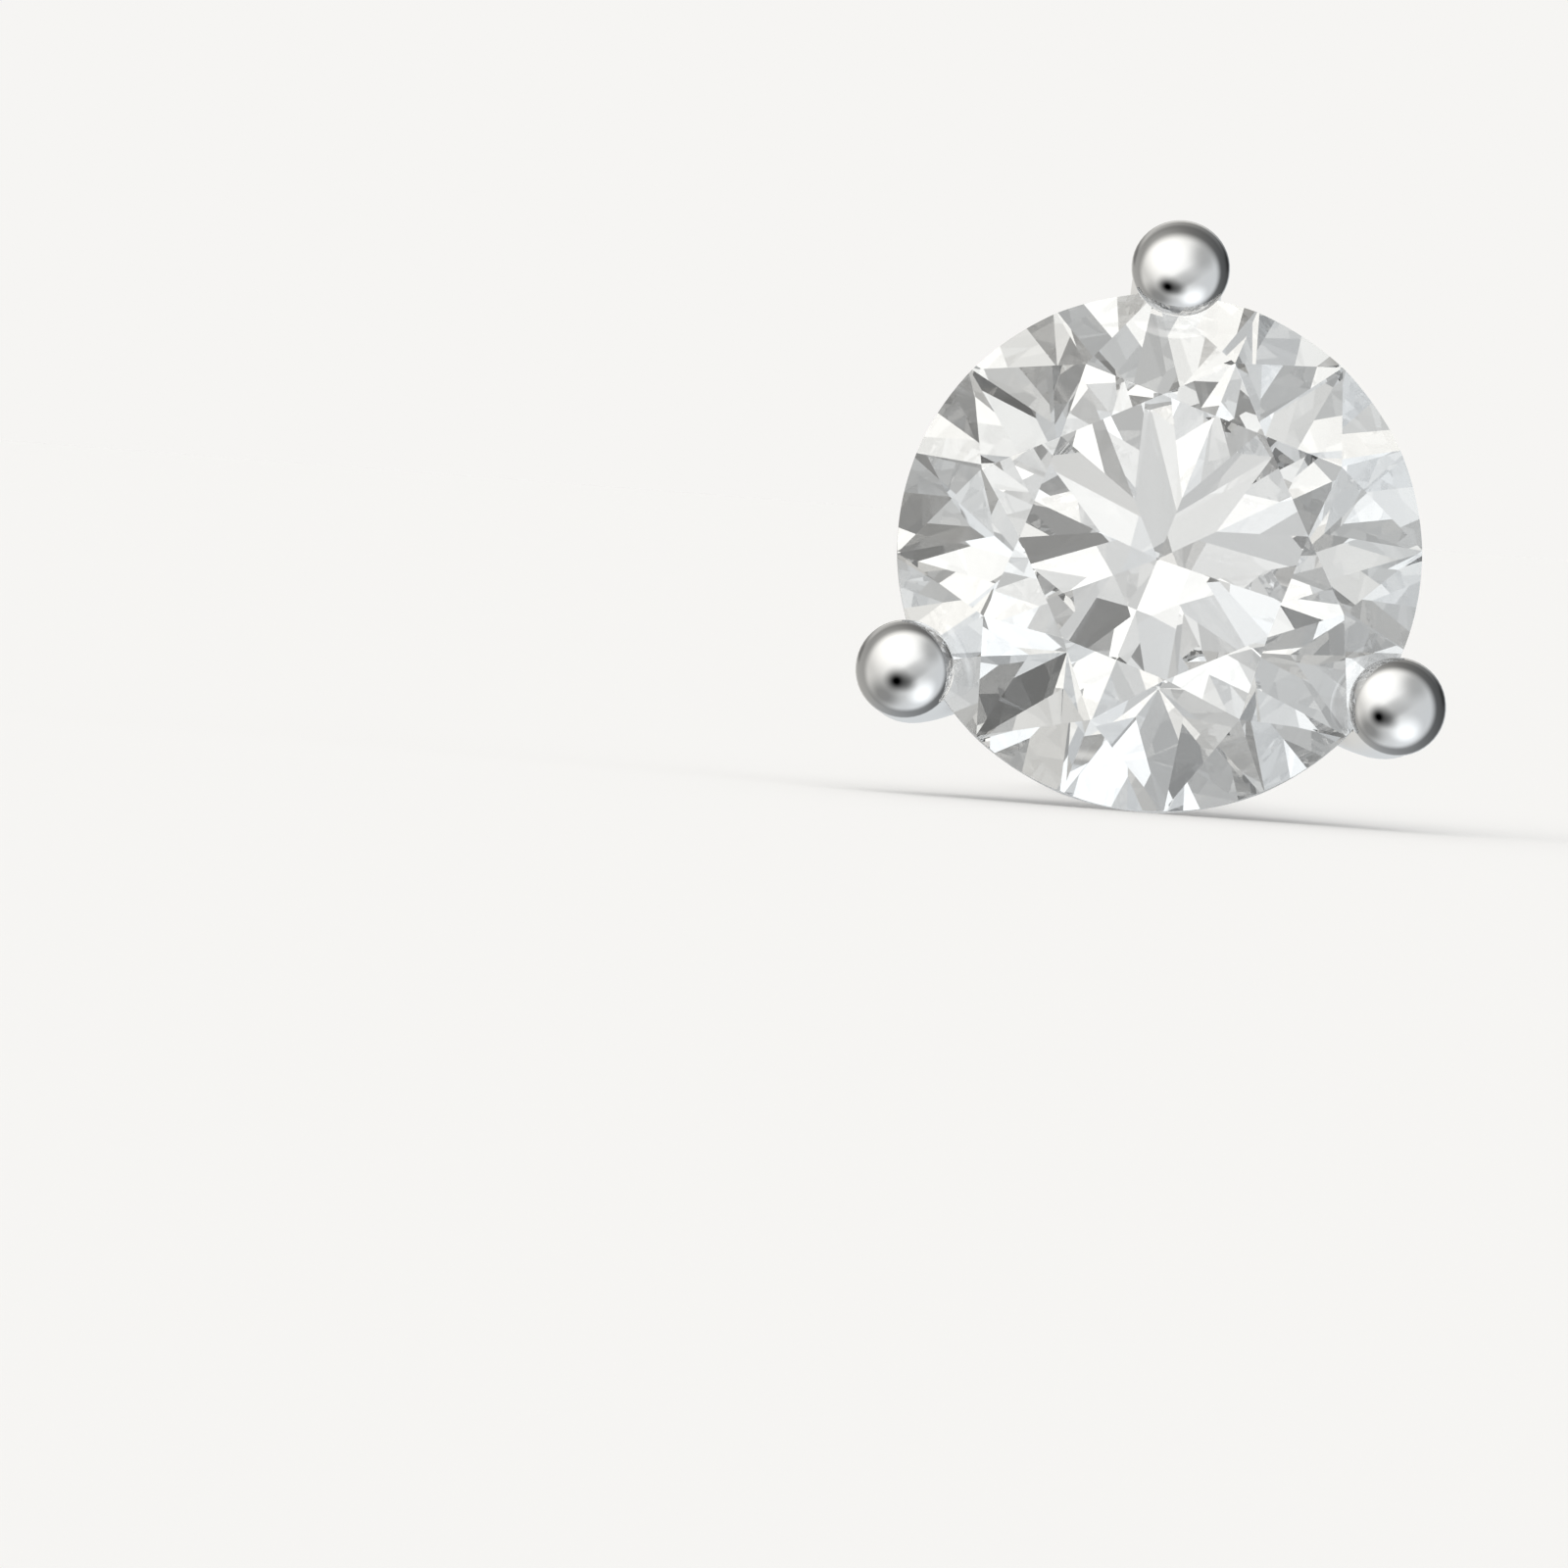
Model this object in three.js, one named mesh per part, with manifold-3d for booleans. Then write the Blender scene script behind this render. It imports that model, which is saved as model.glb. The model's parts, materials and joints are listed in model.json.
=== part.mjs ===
// A stud earring: a round brilliant in a three-prong cone setting, with a straight post.
//
// Both pieces are made in the stud's own frame, with the girdle's middle at the origin, the
// stone's table facing +Z and one prong straight up at +Y. The stud is then laid down as it
// lies on a table by itself, on its girdle and the tip of its post, with the stone facing -Y,
// and the middle of its footprint is the origin. Millimetres, +Z up.

import * as THREE from "three";
import { mergeVertices } from "three/addons/utils/BufferGeometryUtils.js";
import Module from "manifold-3d";

const wasm = await Module();
wasm.setup();

const degrees = THREE.MathUtils.degToRad;

// The stone, a round brilliant
const stoneDiameter = 5.2;
const tableDiameter = 2.85; // across its corners
const crownAngle = degrees(36.2);
const pavilionAngle = degrees(40.4);
const girdleThickness = 0.15; // where the facets' corners meet it, its thickest places
const culetDiameter = 0.03;
const starReach = 0.475; // how far the star facets go from the table's edge to the girdle
const lowerHalfReach = 0.76; // how far the lower halves go from the girdle to the culet
const facetFolds = 8;
const girdleSides = 64;
const stoneTurn = degrees(4.7); // how far the stone is turned in its setting

// The three prongs and their beads
const prongCount = 3;
const prongDiameter = 0.9;
const beadDiameter = 0.98;
const beadThickness = 0.5; // a bead is a flattened ball
const beadStandOff = 0.215; // from the girdle's edge out to the bead's centre
const beadLift = 0.3; // from the girdle's middle up to the bead's centre
const girdleBite = 0.33; // how far a prong's upright starts inside the girdle's edge
const seatClearance = 0.05; // between the stone and its seats
const pavilionClearance = 0.12; // between a prong's leg and the pavilion
const legRootRadius = 0.35; // from the stud's axis to where a leg starts
const bendLength = 0.45; // each side of the corner where a leg turns up to its bead

// The base, which the legs meet in and the ear lies against
const culetClearance = 0.3; // from the culet down to the base's cup
const cupTopDiameter = 0.9;
const cupHeight = 0.35;
const baseDiameter = 2.2;
const baseThickness = 0.35;
const baseRounding = 0.1;

// The post
const postDiameter = 0.84;
const postLength = 9.5; // behind the base
const solderFillet = 0.1;
const notchDepth = 0.06;
const notchLength = 0.5;
const notchFromTip = 1.7;
const tipRounding = 0.2;

const prongSides = 16;
const prongSteps = 24;
const beadSides = 24;
const latheSides = 32;

const stoneRadius = stoneDiameter / 2;
const tableRadius = tableDiameter / 2;
const culetRadius = culetDiameter / 2;
const prongRadius = prongDiameter / 2;
const beadRadius = beadDiameter / 2;
const postRadius = postDiameter / 2;
const girdleTop = girdleThickness / 2;
const girdleBottom = -girdleThickness / 2;
const facetStep = (2 * Math.PI) / facetFolds;

// Heights on the stone's axis
const tableHeight = girdleTop + (stoneRadius - tableRadius) * Math.tan(crownAngle);
const culetPointHeight = girdleBottom - stoneRadius * Math.tan(pavilionAngle);
const culetHeight = culetPointHeight + culetRadius * Math.tan(pavilionAngle);

// A closed three.js geometry as a solid to join or cut.
function solidOf(geometry) {
  const plain = geometry.clone().deleteAttribute("normal").deleteAttribute("uv");
  const merged = mergeVertices(plain, 1e-5);
  return new wasm.Manifold(
    new wasm.Mesh({
      numProp: 3,
      vertProperties: merged.attributes.position.array,
      triVerts: new Uint32Array(merged.index.array),
    }),
  );
}

// A solid as a three.js mesh.
function meshOf(name, solid, material) {
  const { numProp, vertProperties, triVerts } = solid.getMesh();
  const geometry = new THREE.BufferGeometry();
  geometry.setAttribute("position", new THREE.BufferAttribute(vertProperties, numProp));
  geometry.setIndex(new THREE.BufferAttribute(triVerts, 1));
  const faceted = geometry.toNonIndexed();
  faceted.computeVertexNormals();
  const mesh = new THREE.Mesh(faceted, material);
  mesh.name = name;
  return mesh;
}

// A point at a distance from the stud's axis, at an angle round it from +X.
function around(radius, angle, height) {
  return new THREE.Vector3(radius * Math.cos(angle), radius * Math.sin(angle), height);
}

// The planes of the facets, each facing out of the stone, for a stone with a bezel at +X.
function facetPlanes() {
  const planes = [];
  const addFacet = (a, b, c) => {
    const plane = new THREE.Plane().setFromCoplanarPoints(a, b, c);
    planes.push(plane.constant > 0 ? plane.negate() : plane);
  };
  const halfStep = facetStep / 2;
  const tableEdgeRadius = tableRadius * Math.cos(halfStep);
  const starTipRadius = tableEdgeRadius + starReach * (stoneRadius - tableEdgeRadius);
  const starTipHeight =
    tableHeight - (starTipRadius * Math.cos(halfStep) - tableRadius) * Math.tan(crownAngle);
  const lowerHalfTipRadius = stoneRadius * (1 - lowerHalfReach);
  const lowerHalfTipHeight =
    culetPointHeight + lowerHalfTipRadius * Math.cos(halfStep) * Math.tan(pavilionAngle);

  planes.push(new THREE.Plane(new THREE.Vector3(0, 0, 1), -tableHeight));
  planes.push(new THREE.Plane(new THREE.Vector3(0, 0, -1), culetHeight));
  for (let i = 0; i < facetFolds; i++) {
    const bezel = i * facetStep;
    const star = bezel + halfStep;
    const starTip = around(starTipRadius, star, starTipHeight);
    const lowerHalfTip = around(lowerHalfTipRadius, star, lowerHalfTipHeight);
    const table = around(tableRadius, bezel, tableHeight);
    const nextTable = around(tableRadius, bezel + facetStep, tableHeight);
    addFacet(table, starTip, around(stoneRadius, bezel, girdleTop));
    addFacet(table, nextTable, starTip);
    addFacet(lowerHalfTip, around(0, 0, culetPointHeight), around(stoneRadius, bezel, girdleBottom));
    for (const corner of [bezel, bezel + facetStep]) {
      addFacet(
        starTip,
        around(stoneRadius, corner, girdleTop),
        around(stoneRadius, star, girdleTop),
      );
      addFacet(
        lowerHalfTip,
        around(stoneRadius, corner, girdleBottom),
        around(stoneRadius, star, girdleBottom),
      );
    }
  }
  return planes;
}

// The brilliant, grown all round by a clearance: 0 gives the stone, more gives what its seats
// are cut with. The girdle is a cylinder whose flat sides lie level at the bottom.
function brilliant(grown) {
  const blankLength = 2 * (stoneRadius + grown);
  const blank = new THREE.CylinderGeometry(
    stoneRadius + grown,
    stoneRadius + grown,
    blankLength,
    girdleSides,
  );
  blank.rotateX(Math.PI / 2);
  blank.rotateZ(Math.PI / girdleSides);
  const turn = Math.PI / 2 + stoneTurn;
  const axis = new THREE.Vector3(0, 0, 1);
  let solid = solidOf(blank);
  for (const plane of facetPlanes()) {
    const normal = plane.normal.clone().applyAxisAngle(axis, turn);
    solid = solid.trimByPlane(normal.negate().toArray(), plane.constant - grown);
  }
  return solid;
}

// The outline of a prong's middle line, in a plane through the stud's axis: a straight leg
// alongside the pavilion, a bend, and a short upright that leans out a little to its bead.
function prongLine() {
  const uprightRadius = stoneRadius + prongRadius - girdleBite;
  const cornerDrop =
    (prongRadius + pavilionClearance - (uprightRadius - stoneRadius) * Math.sin(pavilionAngle)) /
    Math.cos(pavilionAngle);
  const root = new THREE.Vector3(legRootRadius, 0, cupTopHeight - cupHeight / 2);
  const corner = new THREE.Vector3(uprightRadius, 0, girdleBottom - cornerDrop);
  const bead = new THREE.Vector3(stoneRadius + beadStandOff, 0, beadLift);
  const alongLeg = root.clone().sub(corner).setLength(bendLength).add(corner);
  const alongUpright = bead.clone().sub(corner).setLength(bendLength).add(corner);
  return { root, alongLeg, corner, alongUpright, bead };
}

// One prong with its bead, standing at +X. The bead is square to the upright.
function prong() {
  const { root, alongLeg, corner, alongUpright, bead } = prongLine();
  const section = new THREE.Shape().absarc(0, 0, prongRadius, 0, 2 * Math.PI);
  const line = new THREE.CurvePath();
  line.add(new THREE.LineCurve3(root, alongLeg));
  line.add(new THREE.QuadraticBezierCurve3(alongLeg, corner, alongUpright));
  line.add(new THREE.LineCurve3(alongUpright, bead));
  const wire = new THREE.ExtrudeGeometry(section, {
    extrudePath: line,
    steps: prongSteps,
    curveSegments: prongSides / 2,
    bevelEnabled: false,
  });
  const ball = new THREE.SphereGeometry(beadRadius, beadSides, beadSides / 2);
  ball.rotateX(Math.PI / 2);
  ball.scale(1, 1, beadThickness / beadDiameter);
  ball.rotateY(Math.atan2(bead.x - corner.x, bead.z - corner.z));
  ball.translate(...bead.toArray());
  return solidOf(wire).add(solidOf(ball));
}

const cupTopHeight = culetHeight - culetClearance;
const baseTopHeight = cupTopHeight - cupHeight;
const lobeFaceHeight = baseTopHeight - baseThickness;
const postTipHeight = lobeFaceHeight - postLength;

// The base and the post, turned as one round piece. The outline runs from the post's tip, up
// its side, out along the face that the ear lies against, and up over the cup.
function baseAndPost() {
  const baseRadius = baseDiameter / 2;
  const notchMiddle = postTipHeight + notchFromTip;
  const outline = new THREE.Path();
  outline.moveTo(0, postTipHeight);
  outline.lineTo(postRadius - tipRounding, postTipHeight);
  outline.absarc(
    postRadius - tipRounding,
    postTipHeight + tipRounding,
    tipRounding,
    -Math.PI / 2,
    0,
  );
  outline.lineTo(postRadius, notchMiddle - notchLength / 2);
  outline.quadraticCurveTo(
    postRadius - 2 * notchDepth,
    notchMiddle,
    postRadius,
    notchMiddle + notchLength / 2,
  );
  outline.lineTo(postRadius, lobeFaceHeight - solderFillet);
  outline.absarc(
    postRadius + solderFillet,
    lobeFaceHeight - solderFillet,
    solderFillet,
    Math.PI,
    Math.PI / 2,
    true,
  );
  outline.lineTo(baseRadius - baseRounding, lobeFaceHeight);
  outline.absarc(
    baseRadius - baseRounding,
    lobeFaceHeight + baseRounding,
    baseRounding,
    -Math.PI / 2,
    0,
  );
  outline.lineTo(baseRadius, baseTopHeight);
  outline.lineTo(cupTopDiameter / 2, cupTopHeight);
  outline.lineTo(0, cupTopHeight);
  const turned = new THREE.LatheGeometry(outline.getPoints(4), latheSides);
  turned.rotateX(Math.PI / 2);
  return solidOf(turned);
}

// The metal: the base and post with the prongs soldered in, and the seats cut for the stone.
function setting() {
  const seatCutter = brilliant(seatClearance);
  let metal = baseAndPost();
  for (let i = 0; i < prongCount; i++) {
    const turn = 90 + (i * 360) / prongCount;
    metal = metal.add(prong().rotate([0, 0, turn]));
  }
  return metal.subtract(seatCutter);
}

// How low a piece reaches when the stud's front is tilted up, measured from the girdle's middle.
function lowestReach(mesh, tilt) {
  const positions = mesh.geometry.attributes.position;
  let lowest = Infinity;
  for (let i = 0; i < positions.count; i++) {
    const height = positions.getY(i) * Math.cos(tilt) + positions.getZ(i) * Math.sin(tilt);
    lowest = Math.min(lowest, height);
  }
  return lowest;
}

// The tilt at which the stone and the post's tip both touch the table.
function restingTilt(stoneMesh, settingMesh) {
  let low = 0;
  let high = Math.PI / 4;
  for (let i = 0; i < 50; i++) {
    const tilt = (low + high) / 2;
    if (lowestReach(stoneMesh, tilt) < lowestReach(settingMesh, tilt)) low = tilt;
    else high = tilt;
  }
  return low;
}

const colourlessStone = new THREE.MeshStandardMaterial({
  color: 0xf3f5f7,
  roughness: 0.02,
  metalness: 0,
});
const whiteGold = new THREE.MeshStandardMaterial({
  color: 0xe2e2e3,
  roughness: 0.08,
  metalness: 1,
});

const stoneMesh = meshOf("stone", brilliant(0), colourlessStone);
const settingMesh = meshOf("setting", setting(), whiteGold);

const stud = new THREE.Group();
stud.add(stoneMesh, settingMesh);
stud.rotation.x = Math.PI / 2 - restingTilt(stoneMesh, settingMesh);
stud.updateMatrixWorld(true);
const laidBox = new THREE.Box3().setFromObject(stud, true);
const laidMiddle = laidBox.getCenter(new THREE.Vector3());
stud.position.set(-laidMiddle.x, -laidMiddle.y, -laidBox.min.z);

const earring = new THREE.Group();
earring.name = "stud_earring";
earring.add(stud);

export default earring;
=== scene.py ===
"""The looks of a stud earring: a round brilliant held by three beaded prongs, on a straight post.

The cut stone and the polished setting are modelled in the stud's own frame, in millimetres,
with the girdle's middle at the origin, the table facing +Z and one prong straight up at +Y.
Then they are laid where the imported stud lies, in metres.
"""

import json
import math
from typing import NamedTuple

import bmesh
import bpy
from bpy.props import (
    FloatProperty,
    FloatVectorProperty,
    IntProperty,
    PointerProperty,
)
from mathutils import Matrix, Vector


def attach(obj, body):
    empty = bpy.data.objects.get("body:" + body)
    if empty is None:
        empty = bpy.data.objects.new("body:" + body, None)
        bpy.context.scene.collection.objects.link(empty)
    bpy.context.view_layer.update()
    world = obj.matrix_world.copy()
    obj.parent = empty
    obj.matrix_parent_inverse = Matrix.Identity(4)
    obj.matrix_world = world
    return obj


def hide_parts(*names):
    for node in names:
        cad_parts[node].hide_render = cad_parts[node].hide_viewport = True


bl_info = {
    "name": "Stud Earring",
    "version": (1, 0, 0),
    "blender": (4, 5, 0),
    "location": "View3D > Sidebar > Stud Earring",
    "description": "Builds a three-prong stud earring with a round brilliant, and its studio",
    "category": "Add Mesh",
}

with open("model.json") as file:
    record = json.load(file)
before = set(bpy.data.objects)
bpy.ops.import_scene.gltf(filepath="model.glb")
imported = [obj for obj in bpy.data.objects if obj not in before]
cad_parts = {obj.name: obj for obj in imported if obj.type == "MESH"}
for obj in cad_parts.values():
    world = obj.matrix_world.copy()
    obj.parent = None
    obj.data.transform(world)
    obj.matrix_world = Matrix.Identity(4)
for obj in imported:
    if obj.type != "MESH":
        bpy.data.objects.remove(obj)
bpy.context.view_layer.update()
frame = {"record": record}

MM = 0.001
FACET_FOLDS = 8
PRONG_COUNT = 3


def length(name, description, millimetres):
    """A size of the stud, shown in the sidebar."""
    return FloatProperty(
        name=name,
        description=description,
        default=millimetres * MM,
        min=0.0,
        precision=5,
        unit="LENGTH",
    )


def angle(name, description, degrees):
    """An angle of the stud or the studio, shown in the sidebar."""
    return FloatProperty(
        name=name,
        description=description,
        default=math.radians(degrees),
        unit="ROTATION",
    )


def share(name, description, default):
    """A plain number between 0 and 1."""
    return FloatProperty(name=name, description=description, default=default, min=0.0, max=1.0)


def colour(name, description, default):
    """A linear colour."""
    return FloatVectorProperty(
        name=name,
        description=description,
        default=default,
        min=0.0,
        max=1.0,
        subtype="COLOR",
    )


class StoneSizes(bpy.types.PropertyGroup):
    """The round brilliant."""

    diameter: length("Diameter", "Across the girdle", 5.2)
    table: length("Table", "Across the table's corners", 2.85)
    crown_angle: angle("Crown Angle", "Slope of the bezel facets", 36.2)
    pavilion_angle: angle("Pavilion Angle", "Slope of the pavilion mains", 40.4)
    girdle: length("Girdle", "Thickness where the facets' corners meet it", 0.15)
    culet: length("Culet", "Across the flat at the stone's point", 0.03)
    star_reach: share("Star Reach", "How far the stars go from the table to the girdle", 0.475)
    lower_half_reach: share(
        "Lower Half Reach", "How far the lower halves go from the girdle to the culet", 0.76
    )
    turn: angle("Turn", "How far the stone is turned in its setting", 4.7)
    ior: FloatProperty(name="IOR", description="Index of refraction", default=2.417, min=1.0)
    tint: colour("Tint", "Colour of the stone", (0.995, 0.998, 1.0))
    girdle_roughness: share("Girdle Roughness", "How finely the girdle is ground", 0.32)


class SettingSizes(bpy.types.PropertyGroup):
    """The prongs, their beads and the base."""

    wire: length("Wire", "Diameter of a prong", 0.9)
    bead: length("Bead", "Diameter of a bead", 0.98)
    bead_thickness: length("Bead Thickness", "A bead is a flattened ball", 0.5)
    neck: length("Neck", "Radius of the groove where a prong meets its bead", 0.03)
    stand_off: length("Stand-off", "From the girdle's edge out to a bead's centre", 0.215)
    bead_lift: length("Bead Lift", "From the girdle's middle up to a bead's centre", 0.3)
    girdle_bite: length(
        "Girdle Bite", "How far a prong's upright starts inside the girdle's edge", 0.33
    )
    seat_gap: length("Seat Gap", "Between the stone and its seats", 0.012)
    leg_gap: length("Leg Gap", "Between a prong's leg and the pavilion", 0.12)
    leg_root: length("Leg Root", "From the stud's axis to where a leg starts", 0.35)
    bend: length("Bend", "Each side of the corner where a leg turns up", 0.45)
    culet_gap: length("Culet Gap", "From the stone's point down to the cup", 0.3)
    cup_top: length("Cup Top", "Diameter of the cup where the legs leave it", 0.9)
    cup_height: length("Cup Height", "From the base up to the cup's top", 0.35)
    base: length("Base", "Diameter of the base", 2.2)
    base_thickness: length("Base Thickness", "Thickness of the base", 0.35)
    rim: length("Rim", "Rounding of the base's rim", 0.1)
    metal: colour("Metal", "Colour of the white metal", (0.87, 0.87, 0.875))
    polish: share("Polish", "Roughness of the polished metal", 0.035)


class PostSizes(bpy.types.PropertyGroup):
    """The post behind the base."""

    diameter: length("Diameter", "Diameter of the post", 0.84)
    reach: length("Length", "From the base's back to the post's tip", 9.5)
    fillet: length("Fillet", "Radius of the solder round the post", 0.1)
    notch_depth: length("Notch Depth", "Depth of the friction notch", 0.06)
    notch_length: length("Notch Length", "Length of the friction notch", 0.5)
    notch_from_tip: length("Notch From Tip", "From the tip to the notch's middle", 1.7)
    tip: length("Tip", "Rounding of the post's tip", 0.2)


class StudioSizes(bpy.types.PropertyGroup):
    """The floor, the light and the camera."""

    floor: FloatProperty(
        name="Floor", description="Width of the floor", default=4.0, unit="LENGTH"
    )
    floor_colour: colour("Floor Colour", "Colour of the pale floor", (0.820, 0.815, 0.810))
    backdrop: colour("Backdrop", "What is seen past the floor", (0.922, 0.913, 0.896))
    from_left: angle("From Left", "How far left of the stud's axis the camera stands", 2.0)
    from_below: angle("From Below", "How far under the stud's axis the camera stands", 9.7)
    roll: angle("Roll", "How far the picture is turned, clockwise", 4.4)
    distance: length("Distance", "From the stone to the camera", 180.0)
    stone_across: share("Stone Across", "Where the stone's middle is in the picture", 0.7395)
    stone_down: share("Stone Down", "Where the stone's middle is in the picture", 0.3525)
    stone_span: share("Stone Span", "The stone's diameter as a share of the picture", 0.3348)
    overhead: FloatProperty(
        name="Overhead", description="Strength of the light on the floor", default=2.0
    )
    sensor: FloatProperty(name="Sensor", description="Sensor width in mm", default=36.0)
    bounces: IntProperty(name="Bounces", description="Bounces inside the stone", default=32)


class Term:
    """One socket of a node tree, so that shader maths reads as Python expressions."""

    def __init__(self, tree, socket=None):
        self.tree = tree
        self.socket = socket

    def node(self, kind, settings=None, inputs=None, output=0):
        """Adds a node, sets it up, fills its sockets and gives one of its outputs."""
        made = self.tree.nodes.new(kind)
        for name, value in (settings or {}).items():
            setattr(made, name, value)
        for name, value in (inputs or {}).items():
            if isinstance(value, Term):
                self.tree.links.new(value.socket, made.inputs[name])
            else:
                made.inputs[name].default_value = value
        return Term(self.tree, made.outputs[output] if made.outputs else None)

    def math(self, operation, *operands):
        """A Math node on numbers and sockets."""
        return self.node("ShaderNodeMath", {"operation": operation}, dict(enumerate(operands)))

    def vector(self, operation, other, output=0):
        """A Vector Math node on this vector and another."""
        inputs = {0: self, 1: other}
        return self.node("ShaderNodeVectorMath", {"operation": operation}, inputs, output)

    def dot(self, direction):
        """How far this vector goes in a direction."""
        return self.vector("DOT_PRODUCT", direction, output="Value")

    def step(self, start, end):
        """0 up to start and 1 from end, smooth between them; start may be past end."""
        inputs = {"Value": self, "From Min": start, "From Max": end}
        return self.node("ShaderNodeMapRange", {"interpolation_type": "SMOOTHSTEP"}, inputs)

    def mix(self, low, high):
        """The colour low where this is 0 and high where it is 1."""
        inputs = {"Factor": self, "A": low, "B": high}
        return self.node("ShaderNodeMix", {"data_type": "RGBA"}, inputs, output="Result")

    def __add__(self, other):
        return self.math("ADD", self, other)

    def __radd__(self, other):
        return self.math("ADD", other, self)

    def __sub__(self, other):
        return self.math("SUBTRACT", self, other)

    def __rsub__(self, other):
        return self.math("SUBTRACT", other, self)

    def __mul__(self, other):
        return self.math("MULTIPLY", self, other)

    def __rmul__(self, other):
        return self.math("MULTIPLY", other, self)

    def __truediv__(self, other):
        return self.math("DIVIDE", self, other)

    def __pow__(self, other):
        return self.math("POWER", self, other)


def empty_tree(owner):
    """The node tree of a material or a world, with nothing in it."""
    owner.use_nodes = True
    owner.node_tree.nodes.clear()
    return Term(owner.node_tree)


def opaque(rgb):
    """A colour with full alpha."""
    return (*rgb, 1.0)


# Where the stud lies


def stud_place():
    """The stud's own frame in the part's: from millimetres at the girdle to metres as it lies."""
    mounts = {mount["name"]: mount for mount in frame["record"]["mounts"]}
    tip = Vector(mounts["post_tip"]["pos_m"])
    backward = Vector(mounts["post_tip"]["axis"]).normalized()
    across = Vector((1.0, 0.0, 0.0))
    facing = -backward
    upward = facing.cross(across).normalized()
    turned = Matrix((across, upward, facing)).transposed().to_4x4()
    middle = tip + backward * (post_tip_height() * MM)
    return Matrix.Translation(middle) @ turned @ Matrix.Scale(MM, 4)


def in_mm(value):
    """A length in metres, in millimetres."""
    return value / MM


# Heights on the stone's axis, in millimetres from the girdle's middle


def stone_heights():
    """The table, the culet's flat and the point where the pavilion would end."""
    stone = bpy.context.scene.stud_stone
    radius = in_mm(stone.diameter) / 2
    half_girdle = in_mm(stone.girdle) / 2
    table = half_girdle + (radius - in_mm(stone.table) / 2) * math.tan(stone.crown_angle)
    point = -half_girdle - radius * math.tan(stone.pavilion_angle)
    culet = point + in_mm(stone.culet) / 2 * math.tan(stone.pavilion_angle)
    return table, culet, point


def cup_top_height():
    """The top of the cup that the legs leave."""
    return stone_heights()[1] - in_mm(bpy.context.scene.stud_setting.culet_gap)


def base_top_height():
    """The side of the base that faces the stone."""
    return cup_top_height() - in_mm(bpy.context.scene.stud_setting.cup_height)


def lobe_face_height():
    """The flat back of the base, which faces the ear lobe."""
    return base_top_height() - in_mm(bpy.context.scene.stud_setting.base_thickness)


def post_tip_height():
    """The far end of the post."""
    return lobe_face_height() - in_mm(bpy.context.scene.stud_post.reach)


def around(radius, turn, height):
    """A point at a distance from the stud's axis, at an angle round it from +X."""
    return Vector((radius * math.cos(turn), radius * math.sin(turn), height))


def height_on_plane(a, b, c, x, y):
    """How high the plane through three points is at (x, y)."""
    normal = (b - a).cross(c - a)
    return a.z - (normal.x * (x - a.x) + normal.y * (y - a.y)) / normal.z


# The cut stone

ARC_STEPS = 12  # girdle steps along one half facet
GIRDLE_SLOT = 1  # the second material; the facets have the first
GRAIN_SCALE = 40.0  # grains of the ground girdle in a millimetre
GRAIN_LEAST = 0.7  # share of the girdle's roughness that the smoothest grains have
GRAIN_SPREAD = 0.6  # how much more of it the roughest have


def girdle_ring(tips, radius, corner_height):
    """The scalloped edge where the half facets on one side of the stone meet the girdle."""
    points = []
    fold = math.tau / FACET_FOLDS
    for i in range(2 * FACET_FOLDS):
        start = i * fold / 2
        end = start + fold / 2
        first = around(radius, start, corner_height)
        last = around(radius, end, corner_height)
        tip = tips[i // 2]
        for step in range(ARC_STEPS):
            turn = start + (end - start) * step / ARC_STEPS
            point = around(radius, turn, 0)
            point.z = height_on_plane(tip, first, last, point.x, point.y)
            points.append(point)
    return points


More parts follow.
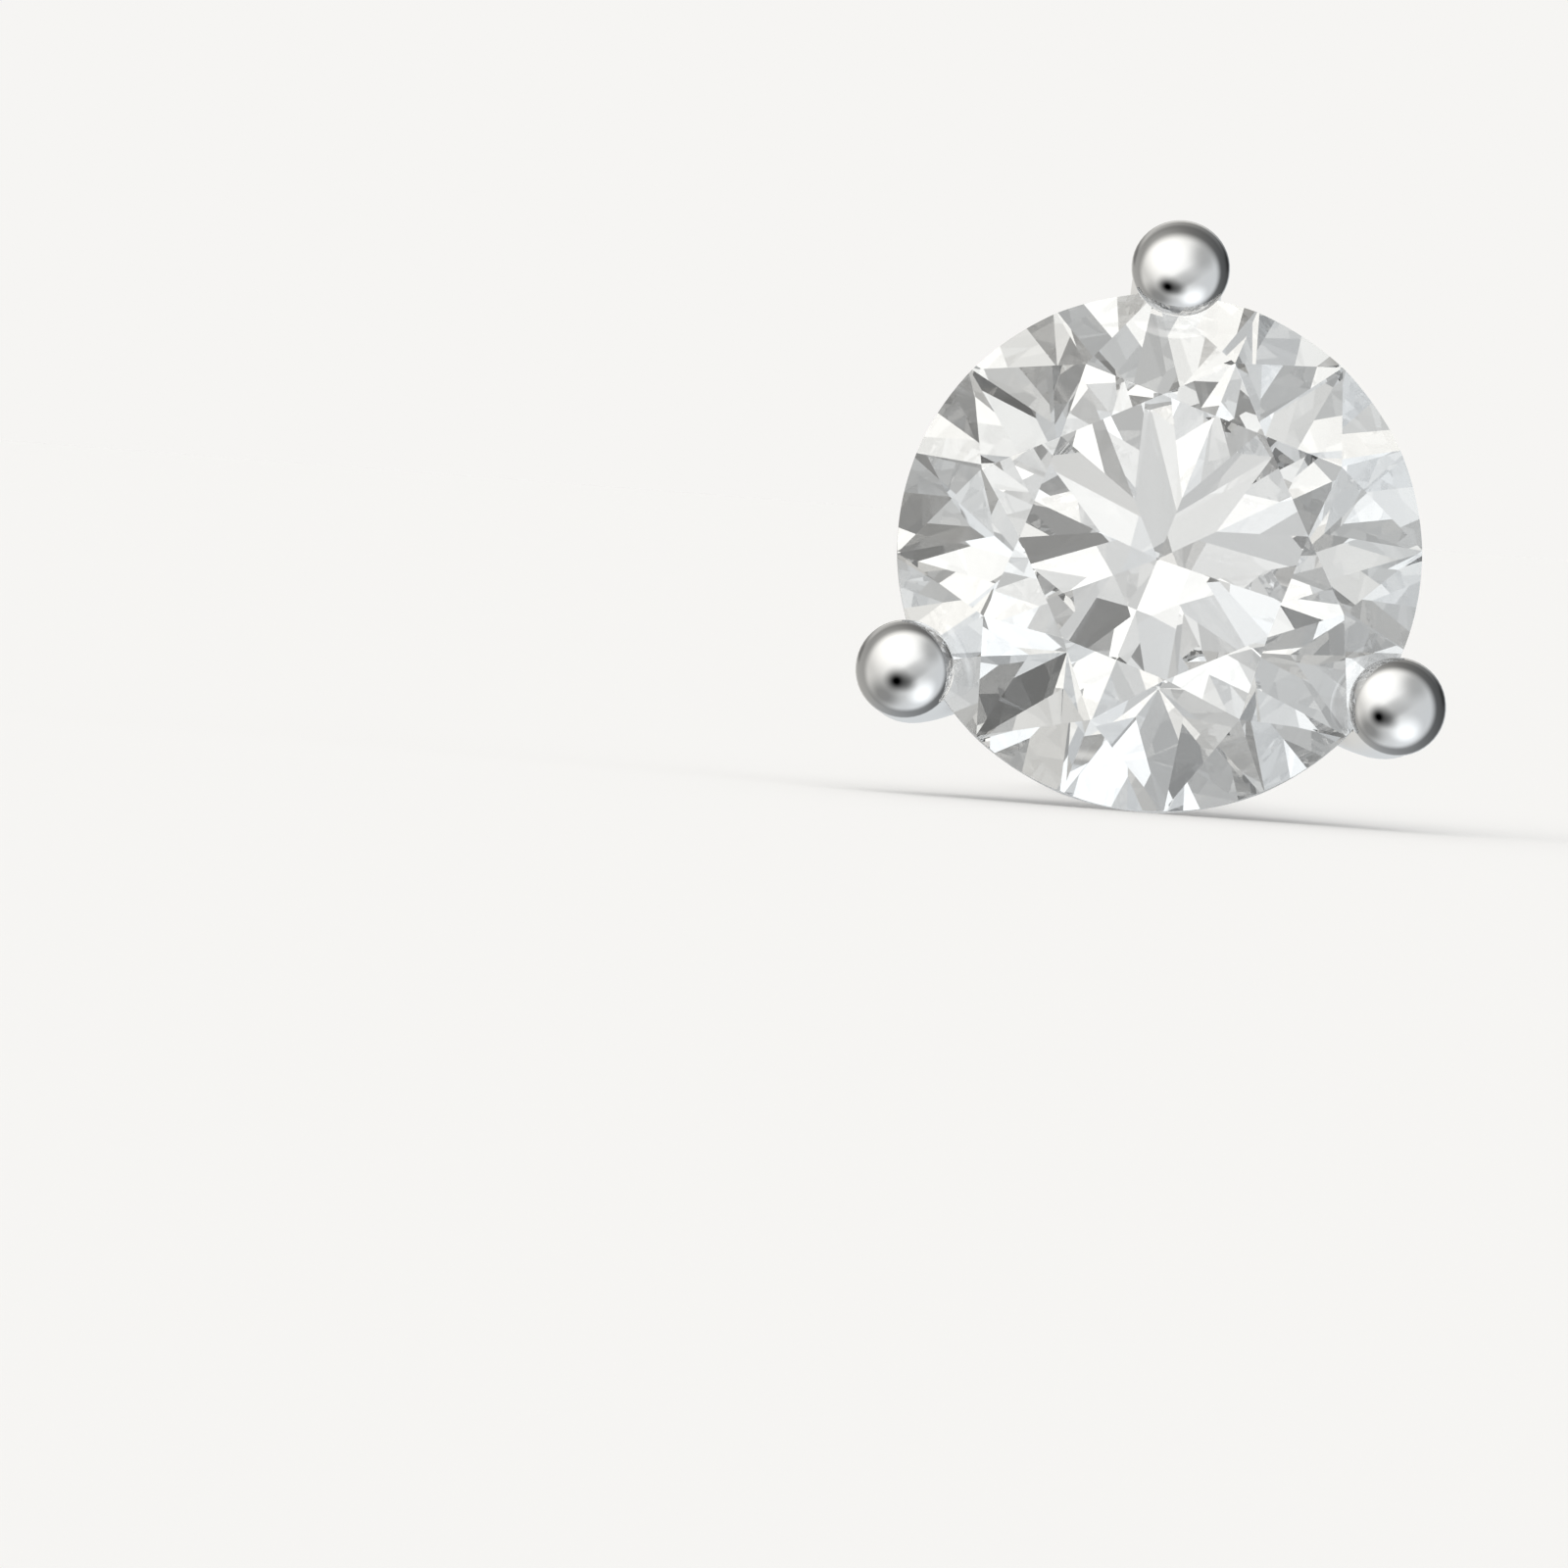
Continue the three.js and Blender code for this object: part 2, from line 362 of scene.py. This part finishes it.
def brilliant(grown=0.0):
    """The round brilliant as a bmesh, in millimetres, with its girdle grown outwards."""
    stone = bpy.context.scene.stud_stone
    radius = in_mm(stone.diameter) / 2
    table_radius = in_mm(stone.table) / 2
    culet_radius = in_mm(stone.culet) / 2
    half_girdle = in_mm(stone.girdle) / 2
    table_height, culet_height, point_height = stone_heights()
    fold = math.tau / FACET_FOLDS
    half = fold / 2

    table_edge = table_radius * math.cos(half)
    star_tip = table_edge + stone.star_reach * (radius - table_edge)
    crown_slope = math.tan(stone.crown_angle)
    pavilion_slope = math.tan(stone.pavilion_angle)
    star_tip_height = table_height - (star_tip * math.cos(half) - table_radius) * crown_slope
    lower_tip = radius * (1 - stone.lower_half_reach)
    lower_tip_height = point_height + lower_tip * math.cos(half) * pavilion_slope

    folds = range(FACET_FOLDS)
    table_at = [around(table_radius, k * fold, table_height) for k in folds]
    star_at = [around(star_tip, k * fold + half, star_tip_height) for k in folds]
    lower_at = [around(lower_tip, k * fold + half, lower_tip_height) for k in folds]
    culet_at = [around(culet_radius / math.cos(half), k * fold + half, culet_height) for k in folds]
    top_at = girdle_ring(star_at, radius, half_girdle)
    bottom_at = girdle_ring(lower_at, radius, -half_girdle)

    made = bmesh.new()
    table, star, lower, culet, top, bottom = (
        [made.verts.new(point) for point in points]
        for points in (table_at, star_at, lower_at, culet_at, top_at, bottom_at)
    )
    made.faces.new(table)
    made.faces.new(culet)
    around_girdle = len(top)
    for k in folds:
        corner = 2 * k * ARC_STEPS
        middle = corner + ARC_STEPS
        ends = [i % around_girdle for i in range(middle, corner + 2 * ARC_STEPS + 1)]
        starts = list(range(corner, middle + 1))
        made.faces.new((table[k], table[(k + 1) % FACET_FOLDS], star[k]))
        made.faces.new((table[k], star[k], top[corner], star[k - 1]))
        made.faces.new((culet[k], lower[k], bottom[corner], lower[k - 1], culet[k - 1]))
        for arc in (starts, ends):
            made.faces.new([star[k]] + [top[i] for i in arc])
            made.faces.new([lower[k]] + [bottom[i] for i in arc])
    for i in range(around_girdle):
        after = (i + 1) % around_girdle
        band = made.faces.new((top[i], top[after], bottom[after], bottom[i]))
        band.material_index = GIRDLE_SLOT
    bmesh.ops.recalc_face_normals(made, faces=made.faces)
    turn = math.pi / 2 + stone.turn
    grow = 1 + grown / radius
    made.transform(Matrix.Rotation(turn, 4, "Z") @ Matrix.Scale(grow, 4))
    return made


def gemstone():
    """Clear polished facets."""
    stone = bpy.context.scene.stud_stone
    material = bpy.data.materials.new("gemstone")
    tree = empty_tree(material)
    surface = tree.node(
        "ShaderNodeBsdfPrincipled",
        inputs={
            "Base Color": opaque(stone.tint),
            "Roughness": 0.0,
            "IOR": stone.ior,
            "Transmission Weight": 1.0,
        },
    )
    tree.node("ShaderNodeOutputMaterial", inputs={"Surface": surface})
    return material


def ground_girdle():
    """The girdle, ground to a fine and slightly uneven frost."""
    stone = bpy.context.scene.stud_stone
    material = bpy.data.materials.new("ground_girdle")
    tree = empty_tree(material)
    place = tree.node("ShaderNodeTexCoord", output="Object")
    grain = place.node(
        "ShaderNodeTexNoise",
        inputs={"Vector": place, "Scale": GRAIN_SCALE / MM, "Detail": 3.0, "Roughness": 0.6},
    )
    surface = tree.node(
        "ShaderNodeBsdfPrincipled",
        inputs={
            "Base Color": opaque(stone.tint),
            "Roughness": stone.girdle_roughness * (GRAIN_LEAST + GRAIN_SPREAD * grain),
            "IOR": stone.ior,
            "Transmission Weight": 1.0,
        },
    )
    tree.node("ShaderNodeOutputMaterial", inputs={"Surface": surface})
    return material


class STUD_OT_cut_stone(bpy.types.Operator):
    """Cuts the round brilliant, with its finely ground girdle."""

    bl_idname = "stud.cut_stone"
    bl_label = "Cut Stone"

    def execute(self, context):
        cut = brilliant()
        cut.transform(stud_place())
        mesh = bpy.data.meshes.new("cut_stone")
        cut.to_mesh(mesh)
        cut.free()
        mesh.materials.append(gemstone())
        mesh.materials.append(ground_girdle())
        piece = bpy.data.objects.new("cut_stone", mesh)
        context.collection.objects.link(piece)
        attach(piece, "root")
        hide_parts("stone")
        return {"FINISHED"}


# The metal

PRONG_SIDES = 48
LATHE_SIDES = 96
WIRE_STEPS = 12
BEND_STEPS = 16
BEAD_STEPS = 32
BEAD_UNDER = -20  # degrees round the bead, from its widest circle down to its neck
GROOVE_TURNS = (-90, -15)  # degrees round the groove, from the prong to the bead
GROOVE_BEHIND = 1.2  # groove radii from the bead's lower edge down to the groove's middle
RIM_TURNS = (0, 65)  # degrees round the base's rim, up to the cup's side
LIP_TURNS = (25, 90)  # degrees round the cup's lip, from the cup's side to its top
ROUNDING_STEPS = 8
SHARP_EDGE = math.radians(28)
WELD = 0.0001  # millimetres; points nearer than this after the joining become one

# The polished metal's marks, each fade being where it starts and where it is full

CLOUD_SCALE = 0.9  # in a millimetre
CLOUD_FADE = (0.35, 0.65)
CLOUD_SHADE = 0.965  # the duller metal beside the brighter
MARK_SCALES = (2.0, 28.0, 9.0)  # in a millimetre, along each axis
MARK_FADE = (0.56, 0.74)
MARK_ROUGHNESS = 0.05
MARK_BUMP = 0.05
MARK_DEPTH = 0.002  # millimetres


def closed_mesh(name, rings, sides, ends):
    """A solid skinned over rings of points, closed by an end point or a flat at each end."""
    made = bmesh.new()
    loops = [[made.verts.new(point) for point in ring] for ring in rings]
    for low, high in zip(loops, loops[1:]):
        for i in range(sides):
            after = (i + 1) % sides
            made.faces.new((low[i], low[after], high[after], high[i]))
    for loop, end in zip((loops[0], loops[-1]), ends):
        if end is None:
            made.faces.new(loop)
        else:
            pole = made.verts.new(end)
            for i in range(sides):
                made.faces.new((loop[i], loop[(i + 1) % sides], pole))
    bmesh.ops.recalc_face_normals(made, faces=made.faces)
    mesh = bpy.data.meshes.new(name)
    made.to_mesh(mesh)
    made.free()
    return mesh


def arc(centre, radius, start, end, steps=ROUNDING_STEPS):
    """Points of a round stretch of an outline, as (distance from the axis, height)."""
    turns = [math.radians(start + (end - start) * i / steps) for i in range(steps + 1)]
    return [
        (centre[0] + radius * math.cos(turn), centre[1] + radius * math.sin(turn))
        for turn in turns
    ]


def bead_outline(setting):
    """A bead and its neck, as (distance along the prong from the bead's centre, radius)."""
    wire = in_mm(setting.wire) / 2
    bead = in_mm(setting.bead) / 2
    half_thickness = in_mm(setting.bead_thickness) / 2
    neck = in_mm(setting.neck)
    step = (90 - BEAD_UNDER) / BEAD_STEPS
    turns = [math.radians(BEAD_UNDER + step * i) for i in range(BEAD_STEPS)]
    ball = [(half_thickness * math.sin(a), bead * math.cos(a)) for a in turns]
    groove_middle = (ball[0][0] - GROOVE_BEHIND * neck, wire + neck)
    groove = arc(groove_middle, neck, *GROOVE_TURNS)
    return groove + ball, half_thickness


def prong_line(setting, stone):
    """The corners of a prong's middle line: its root, the corner of its bend, its bead."""
    radius = in_mm(stone.diameter) / 2
    half_girdle = in_mm(stone.girdle) / 2
    wire = in_mm(setting.wire) / 2
    upright = radius + wire - in_mm(setting.girdle_bite)
    drop = wire + in_mm(setting.leg_gap) - (upright - radius) * math.sin(stone.pavilion_angle)
    drop /= math.cos(stone.pavilion_angle)
    root = Vector((in_mm(setting.leg_root), 0, cup_top_height() - in_mm(setting.cup_height) / 2))
    corner = Vector((upright, 0, -half_girdle - drop))
    bead = Vector((radius + in_mm(setting.stand_off), 0, in_mm(setting.bead_lift)))
    return root, corner, bead


def prong(turn):
    """One prong with its bead, as one smooth swept solid."""
    scene = bpy.context.scene
    setting = scene.stud_setting
    wire = in_mm(setting.wire) / 2
    root, corner, bead = prong_line(setting, scene.stud_stone)
    leg_end = corner + (root - corner).normalized() * in_mm(setting.bend)
    upright_start = corner + (bead - corner).normalized() * in_mm(setting.bend)
    outline, bead_top = bead_outline(setting)
    up = (bead - corner).normalized()

    stations = [(root.lerp(leg_end, i / WIRE_STEPS), leg_end - root) for i in range(WIRE_STEPS)]
    for i in range(BEND_STEPS + 1):
        t = i / BEND_STEPS
        first = leg_end.lerp(corner, t)
        second = corner.lerp(upright_start, t)
        stations.append((first.lerp(second, t), second - first))
    sections = [(centre, heading.normalized(), wire) for centre, heading in stations]
    sections += [(bead + up * along, up, radius) for along, radius in outline]

    side = Vector((0, 1, 0))
    rings = []
    for centre, heading, radius in sections:
        across = side.cross(heading)
        rings.append(
            [
                centre + (across * math.cos(a) + side * math.sin(a)) * radius
                for a in (math.tau * i / PRONG_SIDES for i in range(PRONG_SIDES))
            ]
        )
    mesh = closed_mesh("prong", rings, PRONG_SIDES, (None, bead + up * bead_top))
    mesh.transform(Matrix.Rotation(turn, 4, "Z"))
    return mesh


def base_and_post():
    """The base with its cup, and the post, turned as one round piece."""
    scene = bpy.context.scene
    setting = scene.stud_setting
    post = scene.stud_post
    tip = post_tip_height()
    lobe = lobe_face_height()
    radius = in_mm(post.diameter) / 2
    rounding = in_mm(post.tip)
    fillet = in_mm(post.fillet)
    base = in_mm(setting.base) / 2
    rim = in_mm(setting.rim)
    notch = tip + in_mm(post.notch_from_tip)
    notch_half = in_mm(post.notch_length) / 2

    outline = arc((radius - rounding, tip + rounding), rounding, -90, 0)
    for i in range(2 * ROUNDING_STEPS + 1):
        along = -1 + i / ROUNDING_STEPS
        depth = in_mm(post.notch_depth) * (1 - along * along)
        outline.append((radius - depth, notch + along * notch_half))
    outline += arc((radius + fillet, lobe - fillet), fillet, 180, 90)
    outline += arc((base - rim, lobe + rim), rim, -90, 0)
    cup = in_mm(setting.cup_top) / 2
    edge = rim / 2
    outline += arc((base - edge, base_top_height() - edge), edge, *RIM_TURNS)
    outline += arc((cup - edge, cup_top_height() - edge), edge, *LIP_TURNS)

    rings = [
        [around(away, math.tau * i / LATHE_SIDES, height) for i in range(LATHE_SIDES)]
        for away, height in outline
    ]
    return closed_mesh("base_and_post", rings, LATHE_SIDES, (None, None))


def shaped(body, joined, cutter):
    """One mesh: a body with other solids joined to it and a cutter taken away."""
    scene = bpy.context.scene
    whole = bpy.data.objects.new("whole", body)
    scene.collection.objects.link(whole)
    helpers = []
    for mesh, operation in [(mesh, "UNION") for mesh in joined] + [(cutter, "DIFFERENCE")]:
        helper = bpy.data.objects.new("helper", mesh)
        scene.collection.objects.link(helper)
        helpers.append(helper)
        step = whole.modifiers.new(operation, "BOOLEAN")
        step.operation = operation
        step.solver = "EXACT"
        step.object = helper
    ready = whole.evaluated_get(bpy.context.evaluated_depsgraph_get())
    result = bpy.data.meshes.new_from_object(ready)
    for helper in helpers + [whole]:
        bpy.data.objects.remove(helper)
    welded = bmesh.new()
    welded.from_mesh(result)
    bmesh.ops.remove_doubles(welded, verts=welded.verts, dist=WELD)
    welded.to_mesh(result)
    welded.free()
    return result


def white_metal():
    """Polished white metal with the faint marks that the mop leaves."""
    setting = bpy.context.scene.stud_setting
    material = bpy.data.materials.new("white_metal")
    tree = empty_tree(material)
    place = tree.node("ShaderNodeTexCoord", output="Object")
    cloud = place.node(
        "ShaderNodeTexNoise",
        inputs={"Vector": place, "Scale": CLOUD_SCALE / MM, "Detail": 2.0, "Roughness": 0.5},
    )
    stretched = place.vector("MULTIPLY", tuple(scale / MM for scale in MARK_SCALES))
    marks = place.node(
        "ShaderNodeTexNoise",
        inputs={"Vector": stretched, "Scale": 1.0, "Detail": 4.0, "Distortion": 0.6},
    )
    worn = marks.step(*MARK_FADE)
    dull = opaque([CLOUD_SHADE * part for part in setting.metal])
    bump = place.node(
        "ShaderNodeBump",
        inputs={"Height": marks, "Strength": MARK_BUMP, "Distance": MARK_DEPTH * MM},
    )
    surface = tree.node(
        "ShaderNodeBsdfPrincipled",
        inputs={
            "Base Color": cloud.step(*CLOUD_FADE).mix(dull, opaque(setting.metal)),
            "Metallic": 1.0,
            "Roughness": setting.polish + MARK_ROUGHNESS * worn * cloud,
            "Normal": bump,
        },
    )
    tree.node("ShaderNodeOutputMaterial", inputs={"Surface": surface})
    return material


class STUD_OT_build_setting(bpy.types.Operator):
    """Solders the prongs to the base and its post, and cuts the seats for the stone."""

    bl_idname = "stud.build_setting"
    bl_label = "Build Setting"

    def execute(self, context):
        turns = [math.pi / 2 + i * math.tau / PRONG_COUNT for i in range(PRONG_COUNT)]
        seat = bpy.data.meshes.new("seat_cutter")
        grown = brilliant(in_mm(context.scene.stud_setting.seat_gap))
        grown.to_mesh(seat)
        grown.free()
        mesh = shaped(base_and_post(), [prong(turn) for turn in turns], seat)
        if not mesh.polygons:
            raise RuntimeError("the setting came out empty")
        mesh.transform(stud_place())
        mesh.shade_smooth()
        mesh.set_sharp_from_angle(angle=SHARP_EDGE)
        mesh.materials.clear()
        mesh.materials.append(white_metal())
        mesh.name = "polished_setting"
        piece = bpy.data.objects.new("polished_setting", mesh)
        context.collection.objects.link(piece)
        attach(piece, "root")
        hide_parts("setting")
        return {"FINISHED"}


# The studio


def camera_axes():
    """The camera's directions at the photo's angle to the stud: right, up and back."""
    studio = bpy.context.scene.stud_studio
    facing = stud_place().to_3x3() @ Vector((0, 0, 1))
    rise = math.asin(facing.normalized().z) - studio.from_below
    back = Vector(
        (
            -math.sin(studio.from_left) * math.cos(rise),
            -math.cos(studio.from_left) * math.cos(rise),
            math.sin(rise),
        )
    )
    level = Vector((0, 0, 1)).cross(back).normalized()
    rolled = Matrix.Rotation(studio.roll, 3, back)
    right = rolled @ level
    return right, back.cross(right), back


class Pool(NamedTuple):
    """A soft round patch of brighter or darker light, by its place in the mirror ball."""

    across: float
    above: float
    core: float  # from its middle to where it starts to fade
    edge: float  # from its middle to where it has faded away
    strength: float


FILL = 0.72  # the light of the tent where no soft box is
BRIGHT_POOLS = {
    "window": Pool(-0.12, 0.35, 0.12, 0.44, 0.56),
    "lamp": Pool(0.20, -0.22, 0.05, 0.25, 0.54),
    "card": Pool(0.22, -0.42, 0.08, 0.30, 0.12),
}
DARK_POOLS = {
    "lens": Pool(-0.12, -0.04, 0.02, 0.19, 1.0),
    "hood": Pool(0.0, -0.07, 0.01, 0.15, 0.60),
    "screen": Pool(-0.31, -0.26, 0.06, 0.33, 0.60),
    "flag": Pool(0.30, 0.32, 0.05, 0.24, 0.32),
}
BOOM_RISE = math.radians(30)
BOOM_ABOVE = 0.02
BOOM_WIDTH = 0.118
BOOM_DARKNESS = 0.34
BOOM_START = (-0.12, 0.02)  # here and below: where a fade starts and where it is full
BOOM_END = (0.40, 0.05)
ROOM_START = (0.49, 0.65)
ROOM_END = (0.99, 0.88)
ROOM_DARKNESS = 0.65
ROOM_DARKER_RIGHT = 0.28
ROOM_DARKER_ABOVE = 0.08
BEHIND_START = (-0.10, -0.45)
CEILING_START = (0.45, 0.70)
CEILING_GLOW = 0.80
WALL_START = (0.05, 0.22)
WALL_END = (0.50, 0.36)
WALL_DARKNESS = 0.45
COOL_START = (-0.45, 0.45)
COOL_RIGHT = 0.8
COOL_BELOW = 0.6
WARM = (1.0, 0.985, 0.94, 1.0)
COOL = (0.945, 0.98, 1.0, 1.0)
RIM_GUARD = 0.0001  # keeps the direction straight behind from dividing by nothing
OVERHEAD_SPREAD = math.radians(120)
FLOOR_SEGMENTS = 8
NEAREST_SEEN = 0.001
FARTHEST_SEEN = 10.0


def patch(ball, pool):
    """1 in the middle of a pool and 0 away from it, with a soft edge."""
    across = ball[0] - pool.across
    above = ball[1] - pool.above
    return ((across * across + above * above) ** 0.5).step(pool.edge, pool.core)


def boom(ball):
    """The dark boom that carries the camera, a soft streak that rises from it to the right."""
    along = math.cos(BOOM_RISE) * ball[0] + math.sin(BOOM_RISE) * ball[1]
    off = math.cos(BOOM_RISE) * ball[1] - math.sin(BOOM_RISE) * ball[0] - BOOM_ABOVE
    streak = (off * off).step(BOOM_WIDTH**2, 0.0)
    return streak * along.step(*BOOM_START) * along.step(*BOOM_END)


def dark_room(ball):
    """The room round the tent, a dark ring near the ball's rim that is darkest at the right."""
    out = (ball[0] * ball[0] + ball[1] * ball[1]) ** 0.5
    darkness = ROOM_DARKNESS + ROOM_DARKER_RIGHT * ball[0] + ROOM_DARKER_ABOVE * ball[1]
    return out.step(*ROOM_START) * out.step(*ROOM_END) * darkness


def back_light(heading, toward):
    """Behind the stud, a bright ceiling over a darker wall, which streak the post."""
    height = heading.dot((0.0, 0.0, 1.0))
    ceiling = height.step(*CEILING_START)
    wall = height.step(*WALL_START) * height.step(*WALL_END)
    return 1.0 + toward.step(*BEHIND_START) * (CEILING_GLOW * ceiling - WALL_DARKNESS * wall)


def studio_light():
    """A tent with soft boxes, laid out as a mirror ball beside the stud would show it.

    A direction's place in the ball is from its middle, which shows the camera, to its rim,
    which shows what is behind.
    """
    studio = bpy.context.scene.stud_studio
    world = bpy.data.worlds.new("studio")
    bpy.context.scene.world = world
    tree = empty_tree(world)
    right, up, back = camera_axes()
    heading = tree.node("ShaderNodeTexCoord", output="Generated")
    toward = heading.dot(back)
    spread = (2.0 * toward + (2.0 + RIM_GUARD)) ** 0.5
    ball = (heading.dot(right) / spread, heading.dot(up) / spread)

    strength = FILL
    for pool in BRIGHT_POOLS.values():
        strength = strength + pool.strength * patch(ball, pool)
    for pool in DARK_POOLS.values():
        strength = strength * (1.0 - pool.strength * patch(ball, pool))
    strength = strength * (1.0 - BOOM_DARKNESS * boom(ball)) * (1.0 - dark_room(ball))
    strength = strength * back_light(heading, toward)

    tint = (COOL_RIGHT * ball[0] - COOL_BELOW * ball[1]).step(*COOL_START).mix(WARM, COOL)
    box = tree.node("ShaderNodeBackground", inputs={"Color": tint, "Strength": strength})
    seen = tree.node("ShaderNodeBackground", inputs={"Color": opaque(studio.backdrop)})
    camera_ray = tree.node("ShaderNodeLightPath", output="Is Camera Ray")
    either = tree.node("ShaderNodeMixShader", inputs={0: camera_ray, 1: box, 2: seen})
    tree.node("ShaderNodeOutputWorld", inputs={"Surface": either})


def overhead_light():
    """A wide soft light on the floor alone, which the metal and the stone don't show."""
    data = bpy.data.lights.new("overhead", "SUN")
    data.energy = bpy.context.scene.stud_studio.overhead
    data.angle = OVERHEAD_SPREAD
    data.use_shadow = False
    light = bpy.data.objects.new("overhead", data)
    bpy.context.collection.objects.link(light)
    light.visible_glossy = False
    light.visible_transmission = False


def pale_floor():
    """The plain pale floor that the stud lies on."""
    studio = bpy.context.scene.stud_studio
    made = bmesh.new()
    bmesh.ops.create_grid(
        made, x_segments=FLOOR_SEGMENTS, y_segments=FLOOR_SEGMENTS, size=studio.floor / 2
    )
    mesh = bpy.data.meshes.new("floor")
    made.to_mesh(mesh)
    made.free()
    material = bpy.data.materials.new("pale_floor")
    tree = empty_tree(material)
    surface = tree.node("ShaderNodeBsdfDiffuse", inputs={"Color": opaque(studio.floor_colour)})
    tree.node("ShaderNodeOutputMaterial", inputs={"Surface": surface})
    mesh.materials.append(material)
    floor = bpy.data.objects.new("floor", mesh)
    bpy.context.collection.objects.link(floor)
    floor.visible_glossy = False
    floor.visible_transmission = False


def place_camera():
    """Puts the camera at the photo's angle, turned so that the stone is off the middle."""
    scene = bpy.context.scene
    studio = scene.stud_studio
    right, up, back = camera_axes()
    data = bpy.data.cameras.new("camera")
    camera = bpy.data.objects.new("camera", data)
    scene.collection.objects.link(camera)
    data.sensor_width = studio.sensor
    span = scene.stud_stone.diameter / studio.stone_span
    data.lens = studio.sensor * studio.distance / span
    to_stone = Vector(
        (
            (studio.stone_across - 0.5) * span,
            (0.5 - studio.stone_down) * span,
            -studio.distance,
        )
    )
    turn = to_stone.rotation_difference(Vector((0, 0, -1))).to_matrix().to_4x4()
    axes = Matrix((right, up, back)).transposed().to_4x4()
    place = stud_place().translation + back * studio.distance
    camera.matrix_world = Matrix.Translation(place) @ axes @ turn
    data.clip_start = NEAREST_SEEN
    data.clip_end = FARTHEST_SEEN
    scene.camera = camera


class STUD_OT_set_stage(bpy.types.Operator):
    """Lays the pale floor, sets the soft light and places the camera."""

    bl_idname = "stud.set_stage"
    bl_label = "Set Stage"

    def execute(self, context):
        studio_light()
        overhead_light()
        pale_floor()
        place_camera()
        bounces = context.scene.stud_studio.bounces
        cycles = context.scene.cycles
        cycles.max_bounces = bounces
        cycles.glossy_bounces = bounces
        cycles.transmission_bounces = bounces
        context.scene.view_settings.view_transform = "Standard"
        return {"FINISHED"}


class STUD_PT_sizes(bpy.types.Panel):
    """The stud's sizes and the steps that build it."""

    bl_label = "Stud Earring"
    bl_space_type = "VIEW_3D"
    bl_region_type = "UI"
    bl_category = "Stud Earring"

    def draw(self, context):
        for title, group, operator in (
            ("Stone", context.scene.stud_stone, STUD_OT_cut_stone),
            ("Setting", context.scene.stud_setting, STUD_OT_build_setting),
            ("Post", context.scene.stud_post, None),
            ("Studio", context.scene.stud_studio, STUD_OT_set_stage),
        ):
            box = self.layout.box()
            box.label(text=title)
            for name in group.__annotations__:
                box.prop(group, name)
            if operator:
                box.operator(operator.bl_idname)


CLASSES = (
    StoneSizes,
    SettingSizes,
    PostSizes,
    StudioSizes,
    STUD_OT_cut_stone,
    STUD_OT_build_setting,
    STUD_OT_set_stage,
    STUD_PT_sizes,
)
GROUPS = {
    "stud_stone": StoneSizes,
    "stud_setting": SettingSizes,
    "stud_post": PostSizes,
    "stud_studio": StudioSizes,
}


def register():
    for item in CLASSES:
        bpy.utils.register_class(item)
    for name, group in GROUPS.items():
        setattr(bpy.types.Scene, name, PointerProperty(type=group))


def unregister():
    for name in GROUPS:
        delattr(bpy.types.Scene, name)
    for item in reversed(CLASSES):
        bpy.utils.unregister_class(item)


def main():
    register()
    bpy.ops.stud.cut_stone()
    bpy.ops.stud.build_setting()
    bpy.ops.stud.set_stage()


if __name__ == "__main__":
    main()
